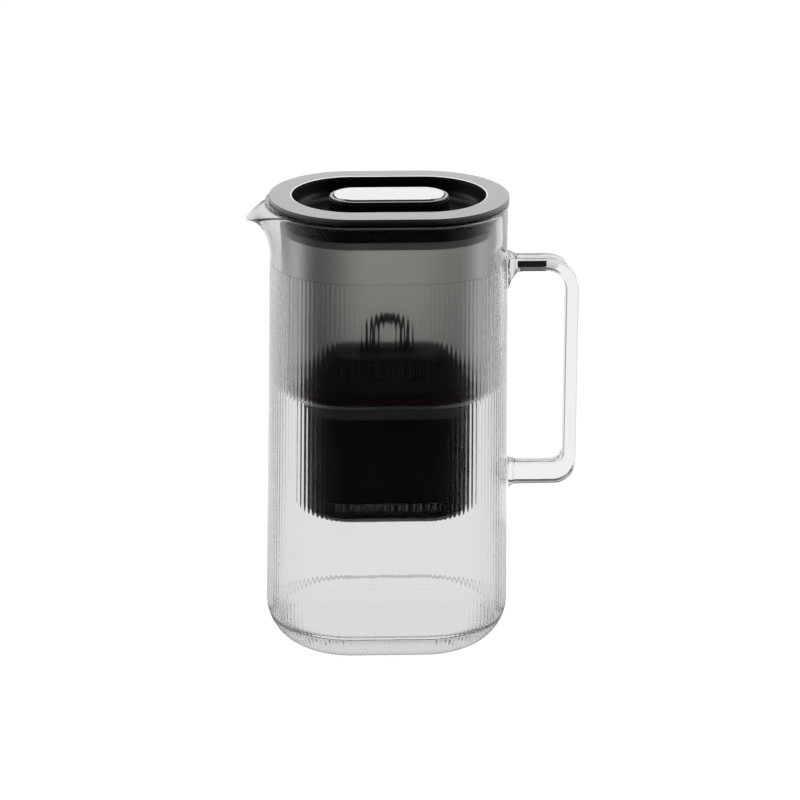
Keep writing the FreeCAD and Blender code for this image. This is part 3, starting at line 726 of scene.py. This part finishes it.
def handleRails():
    # matching points on the outside and the inside of the strap, from the top weld to the low one
    seat, web, turnSteps = handle["seat"], handle["web"], handle["turnSteps"]
    outRound, inRound = handle["topRounds"]
    outLow, inLow = handle["lowRounds"]
    startOut, startIn = handle["barOutside"] - outRound, handle["barInside"] - inRound
    endOut, endIn = handle["barOutside"] - outLow, handle["barInside"] - inLow
    barTopOut, barTopIn = handle["top"] - outRound, handle["topUnder"] - inRound
    barLowOut, barLowIn = handle["low"] + outLow, handle["lowTop"] + inLow
    outer, inner = [], []
    for share in np.linspace(0.0, 1.0, handle["armSteps"] + 1):
        outer.append((seat + (startOut - seat) * share, handle["top"]))
        across = seat + (startIn - seat) * share
        gap = max(0.0, web - (across - seat))
        sag = web - math.sqrt(max(0.0, web ** 2 - gap ** 2))
        inner.append((across, handle["topUnder"] - sag))
    outer += arcPoints((startOut, barTopOut), outRound, 90, 0, turnSteps)[1:]
    inner += arcPoints((startIn, barTopIn), inRound, 90, 0, turnSteps)[1:]
    shares = np.linspace(0.0, 1.0, handle["barSteps"] + 1)[1:]
    outer += [(handle["barOutside"], barTopOut + (barLowOut - barTopOut) * share) for share in shares]
    inner += [(handle["barInside"], barTopIn + (barLowIn - barTopIn) * share) for share in shares]
    outer += arcPoints((endOut, barLowOut), outLow, 0, -90, turnSteps)[1:]
    inner += arcPoints((endIn, barLowIn), inLow, 0, -90, turnSteps)[1:]
    outer += [(endOut + (handle["lowSeat"] - endOut) * share, handle["low"]) for share in shares]
    inner += [(endIn + (handle["lowSeat"] - endIn) * share, handle["lowTop"]) for share in shares]
    return np.array(outer), np.array(inner)


def makeHandle():
    outer, inner = handleRails()
    middle = (outer + inner) / 2
    reach = (outer - inner) / 2
    half = np.linalg.norm(reach, axis=1)
    reach = reach / half[:, None]
    rounding = handle["edgeRound"]
    swell, length = handle["flare"]
    flare = swell * (1 - smooth((middle[:, 0] - handle["seat"]) / length))
    turns = (np.arange(handle["ringSteps"]) + 0.5) * 2 * math.pi / handle["ringSteps"]
    cosines, sines = np.cos(turns)[:, None], np.sin(turns)[:, None]
    thick = np.sign(cosines) * (half + flare - rounding)[None, :] + rounding * cosines
    wide = np.sign(sines) * (handle["halfWidth"] + flare - rounding)[None, :] + rounding * sines
    points = np.zeros((len(turns), len(outer), 3))
    points[:, :, 0] = middle[None, :, 0] + thick * reach[None, :, 0]
    points[:, :, 1] = wide
    points[:, :, 2] = middle[None, :, 1] + thick * reach[None, :, 1]
    ends = [np.broadcast_to(points[:, row].mean(axis=0), (len(turns), 3)) for row in (0, -1)]
    points = np.concatenate([ends[0][:, None], points, ends[1][:, None]], axis=1)
    mesh = gridMesh("handle", points)
    newPiece("strapHandle", "clear_glass", "jug", ["glass_handle"], mesh)
    print("handle:", len(mesh.polygons), "faces")


def roundedProfile(corners, steps=6):
    # the corners' roundings drawn as short arcs
    points = []
    for index, (radius, high, rounding) in enumerate(corners):
        corner = Vector((radius, high))
        if not rounding:
            points.append(tuple(corner))
            continue
        toward = [(Vector(corners[near % len(corners)][:2]) - corner).normalized() for near in (index - 1, index + 1)]
        half = toward[0].angle(toward[1]) / 2
        centre = corner + (toward[0] + toward[1]).normalized() * rounding / math.sin(half)
        start, end = (corner + side * rounding / math.tan(half) - centre for side in toward)
        first = math.atan2(start.y, start.x)
        sweep = (math.atan2(end.y, end.x) - first + math.pi) % (2 * math.pi) - math.pi
        for step in range(steps + 1):
            turn = first + sweep * step / steps
            points.append((centre.x + rounding * math.cos(turn), centre.y + rounding * math.sin(turn)))
    return points


def endSpokes(halfRun, steps):
    # the two round ends of an oblong: axis place and direction of each spoke
    spokes = []
    for axis, start in ((halfRun, -90), (-halfRun, 90)):
        for step in range(steps + 1):
            turn = math.radians(start + 180 * step / steps)
            spokes.append((axis, math.cos(turn), math.sin(turn)))
    return np.array(spokes)


def turnedPoints(profile, halfRun, steps=64):
    spokes = endSpokes(halfRun, steps)
    return spokePoints(spokes, np.array(profile)), spokes


def turnedMesh(name, corners, halfRun, closed=True, steps=64):
    mesh = gridMesh(name, turnedPoints(roundedProfile(corners), halfRun, steps)[0], closedRows=closed)
    mesh.set_sharp_from_angle(angle=sharpAngle)
    return mesh


def joinMeshes(name, meshes):
    form = bmesh.new()
    for mesh in meshes:
        form.from_mesh(mesh)
    joined = bpy.data.meshes.new(name)
    form.to_mesh(joined)
    form.free()
    joined.set_sharp_from_angle(angle=sharpAngle)
    return joined


tank = {
    "wall": 0.0018,
    "outside": 0.0410,
    "under": 0.154,
    "round": 0.006,
    "cup": 0.0289,
    "cupUnder": 0.082,
    "cupRound": 0.005,
    "band": (0.0297, 0.146),
    "collar": (0.0422, 0.0436, 0.2616),
    "flange": (0.04808, 0.266, 0.2677),
    "hoodReach": 0.0024,
    "hoodOutside": 0.0446,
    "pourGap": 0.044,
    "bandRound": 0.0003,
    "edgeRound": 0.0004,
    "collarRound": 0.0002,
    "endSteps": 96,
    "touch": 1e-5,
    "slots": 7,
    "slotSize": (0.003, 0.024),
    "slotDepth": 0.0072,
    "slotPitch": 0.009,
}


def tankMesh():
    wall, under, cupUnder = tank["wall"], tank["under"], tank["cupUnder"]
    outside, cup, edgeRound = tank["outside"], tank["cup"], tank["edgeRound"]
    inside, cupInside = outside - wall, cup - wall
    bandRadius, bandUnder = tank["band"]
    bandRound, collarRound = tank["bandRound"], tank["collarRound"]
    near, far, collarUnder = tank["collar"]
    rim, rimUnder, rimTop = tank["flange"]
    profile = roundedProfile([
        (0, cupUnder, 0), (cup, cupUnder, tank["cupRound"]), (cup, bandUnder, bandRound),
        (bandRadius, bandUnder, bandRound), (bandRadius, under, edgeRound), (outside, under, tank["round"]),
        (outside, rimUnder, 0), (near, rimUnder, 0), (near, collarUnder, collarRound), (far, collarUnder, collarRound),
        (far, rimUnder, 0), (rim, rimUnder, edgeRound), (rim, rimTop, edgeRound), (inside, rimTop, edgeRound),
        (inside, under + wall, tank["round"] - wall), (cupInside, under + wall, edgeRound),
        (cupInside, cupUnder + wall, tank["cupRound"] - wall), (0, cupUnder + wall, 0)])
    points, spokes = turnedPoints(profile, glass["halfRun"], tank["endSteps"])
    rows = np.array(profile)
    inCollar = (rows[:, 0] > near - tank["touch"]) & (rows[:, 0] < far + tank["touch"])
    lipSide = spokes[:, 0] < 0
    pouring = lipSide & (np.abs(spokes[:, 2]) * far < tank["pourGap"] / 2)
    points[np.ix_(pouring, inCollar & (rows[:, 1] < rimUnder), [2])] = rimUnder  # no collar where the water is poured
    points[np.ix_(lipSide, rows[:, 0] > tank["hoodOutside"], [0])] -= tank["hoodReach"]
    return gridMesh("tank", points)


def slotTree():
    tree = bpy.data.node_groups.new("slots", "GeometryNodeTree")
    face = tree.interface
    face.new_socket("Geometry", in_out="INPUT", socket_type="NodeSocketGeometry")
    face.new_socket("Count", in_out="INPUT", socket_type="NodeSocketInt")
    for name in ("Width", "Length", "Depth", "Pitch", "Height"):
        face.new_socket(name, in_out="INPUT", socket_type="NodeSocketFloat")
    face.new_socket("Material", in_out="INPUT", socket_type="NodeSocketMaterial")
    face.new_socket("Geometry", in_out="OUTPUT", socket_type="NodeSocketGeometry")
    given = tree.nodes.new("NodeGroupInput").outputs
    size = addNode(tree, "ShaderNodeCombineXYZ", {0: given["Width"], 1: given["Length"], 2: given["Depth"]})
    cutter = addNode(tree, "GeometryNodeMeshCube", {"Size": size.outputs[0]}).outputs[0]
    last = maths(tree, "SUBTRACT", given["Count"], 1.0)
    first = maths(tree, "MULTIPLY", maths(tree, "MULTIPLY", last, given["Pitch"]), -0.5)
    start = addNode(tree, "ShaderNodeCombineXYZ", {0: first, 2: given["Height"]})
    step = addNode(tree, "ShaderNodeCombineXYZ", {0: given["Pitch"]})
    row = addNode(tree, "GeometryNodeMeshLine", {
        "Count": given["Count"], "Start Location": start.outputs[0], "Offset": step.outputs[0]}, mode="OFFSET")
    cutters = addNode(tree, "GeometryNodeInstanceOnPoints", {"Points": row.outputs[0], "Instance": cutter})
    pair = {0: given["Geometry"], 1: cutters.outputs[0]}
    cut = addNode(tree, "GeometryNodeMeshBoolean", pair, operation="DIFFERENCE")
    whole = addNode(tree, "GeometryNodeRealizeInstances", {"Geometry": cut.outputs[0]})
    painted = addNode(tree, "GeometryNodeSetMaterial", {"Geometry": whole.outputs[0], "Material": given["Material"]})
    addNode(tree, "NodeGroupOutput", {"Geometry": painted.outputs[0]})
    return tree


def makeTank():
    width, length = tank["slotSize"]
    mesh = runTree(slotTree(), tankMesh(), {
        "Count": tank["slots"], "Pitch": tank["slotPitch"], "Width": width, "Length": length,
        "Depth": tank["slotDepth"], "Height": tank["cupUnder"] + tank["wall"] / 2,
        "Material": materials["smoke_plastic"]})
    mesh.shade_smooth()
    mesh.set_sharp_from_angle(angle=sharpAngle)
    newPiece("smokeTank", "smoke_plastic", "hopper", ["hopper_tank"], mesh)
    print("tank:", len(mesh.polygons), "faces")


cover = {
    "under": 0.2572,
    "floor": 0.259,
    "round": 0.006,
    "bowl": 0.03678,
    "bowlRound": 0.0078,
    "outside": 0.04808,
    "plate": (0.2677, 0.2694),
    "plateRound": 0.0005,
    "recess": 0.03498,
    "gripRun": 0.0192,
    "grip": (0.0137, 0.0151),
    "gripRound": 0.0002,
    "gripFoot": 0.0022,
    "gripFlare": 0.00352,
    "overlap": 0.0004,
    "bosses": (0.0264, 0.020),
    "boss": (0.003, 0.252),
    "bossSteps": 16,
}


def makeCover():
    under, floor, overlap = cover["under"], cover["floor"], cover["overlap"]
    bore, grip = cover["grip"]
    low, high = cover["plate"]
    rounding = cover["plateRound"]
    bowl = turnedMesh("bowl", [
        (bore, under, 0), (cover["bowl"], under, cover["bowlRound"]), (cover["bowl"], low, 0),
        (cover["outside"], low, rounding), (cover["outside"], high, rounding), (cover["recess"], high, 0),
        (cover["recess"], floor, cover["round"]), (bore, floor, 0)], glass["halfRun"])
    foot = grip + cover["gripFlare"]
    ring = turnedMesh("grip", [
        (bore, under, 0), (foot, floor - overlap, 0), (foot, floor, 0), (grip, floor, cover["gripFoot"]),
        (grip, high, cover["gripRound"]), (bore, high, 0)], cover["gripRun"])
    radius, bossUnder = cover["boss"]
    boss = turnedMesh("boss", [
        (0, bossUnder, 0), (radius, bossUnder, 0), (radius, under + overlap, 0), (0, under + overlap, 0)],
        0.0, closed=False, steps=cover["bossSteps"])
    meshes = [bowl, ring]
    along, across = cover["bosses"]
    for x, y in ((along, across), (along, -across), (-along, across), (-along, -across)):
        meshes.append(boss.copy())
        meshes[-1].transform(Matrix.Translation((x, y, 0)))
    newPiece("lidCover", "black_plastic", "lid", ["lid_cover"], joinMeshes("lidCover", meshes))
    print("lid cover made")


gasket = {
    "inside": 0.03625,
    "outside": 0.0387,
    "low": 0.2504,
    "high": 0.2550,
    "round": 0.0009,
}


def makeGasket():
    mesh = turnedMesh("gasket", [
        (gasket["inside"], gasket["low"], 0), (gasket["outside"], gasket["low"], gasket["round"]),
        (gasket["outside"], gasket["high"], gasket["round"]), (gasket["inside"], gasket["high"], 0)], glass["halfRun"])
    newPiece("gasketRing", "grey_silicone", "lid", ["lid_gasket"], mesh)
    print("gasket made")


trim = {
    "under": 0.2694,
    "top": 0.2711,
    "crown": 0.00045,
    "outside": 0.04808,
    "inside": 0.03498,
    "outerRound": 0.0004,
    "cutEdge": 0.0006,
    "cutDrop": 0.00021,
    "cutRound": 0.0002,
    "polished": 0.00066,  # how wide the bright cut edge is
    "crownFrom": 0.0009,
}


def makeTrimRing():
    inside, outside = trim["inside"], trim["outside"]
    crown = trim["top"] + trim["crown"]
    profile = roundedProfile([
        (inside, trim["under"], 0), (outside, trim["under"], 0), (outside, trim["top"], trim["outerRound"]),
        (inside + trim["crownFrom"], crown, 0), (inside + trim["cutEdge"], crown, 0),
        (inside, crown - trim["cutDrop"], trim["cutRound"])])
    points, spokes = turnedPoints(profile, glass["halfRun"])
    bright = (np.array(profile)[:, 0] < inside + trim["polished"]).astype(float)
    mesh = gridMesh("trimRing", points, {"polish": np.tile(bright, len(spokes))}, closedRows=True)
    mesh.set_sharp_from_angle(angle=sharpAngle)
    newPiece("trimPlate", "satin_plate", "lid", ["lid_trim_ring"], mesh)
    print("trim plate made")


pill = {
    "halfRun": 0.0192,
    "radius": 0.0122,
    "top": 0.2720,
    "plate": 0.00174,
    "skirt": (0.0108, 0.2662),
    "flange": (0.0133, 0.2682, 0.2694),
    "round": 0.0005,
    "stem": (0.0020, 0.26305),
    "stemRound": 0.0002,
    "stemSteps": 16,
    "bezel": (0.0128, 0.0148),
    "bezelTop": 0.2711,
    "bezelRounds": (0.0003, 0.0009),
}


def makePill():
    radius, top = pill["radius"], pill["top"]
    skirtInside, skirtUnder = pill["skirt"]
    flange, flangeUnder, flangeTop = pill["flange"]
    plateUnder = top - pill["plate"]
    body = turnedMesh("pill", [
        (0, plateUnder, 0), (skirtInside, plateUnder, 0), (skirtInside, skirtUnder, 0), (radius, skirtUnder, 0),
        (radius, flangeUnder, 0), (flange, flangeUnder, 0), (flange, flangeTop, 0), (radius, flangeTop, 0),
        (radius, top, pill["round"]), (0, top, 0)], pill["halfRun"], closed=False)
    stemRadius, stemUnder = pill["stem"]
    stem = turnedMesh("stem", [
        (0, stemUnder, 0), (stemRadius, stemUnder, pill["stemRound"]), (stemRadius, plateUnder, 0), (0, plateUnder, 0)],
        0.0, closed=False, steps=pill["stemSteps"])
    newPiece("pillButton", "bright_metal", "button", ["indicator_button"], joinMeshes("pillButton", [body, stem]))
    inside, outside = pill["bezel"]
    insideRound, outsideRound = pill["bezelRounds"]
    ring = turnedMesh("bezel", [
        (inside, flangeTop, 0), (outside, flangeTop, 0), (outside, pill["bezelTop"], outsideRound),
        (inside, pill["bezelTop"], insideRound)], pill["halfRun"])
    ring.materials.append(materials["bezel_metal"])
    newPiece("pillBezel", "bright_metal", "lid", ["indicator_bezel"], ring)
    print("pill and bezel made")


makeJug()
makeHandle()
makeTank()
makeCover()
makeGasket()
makeTrimRing()
makePill()
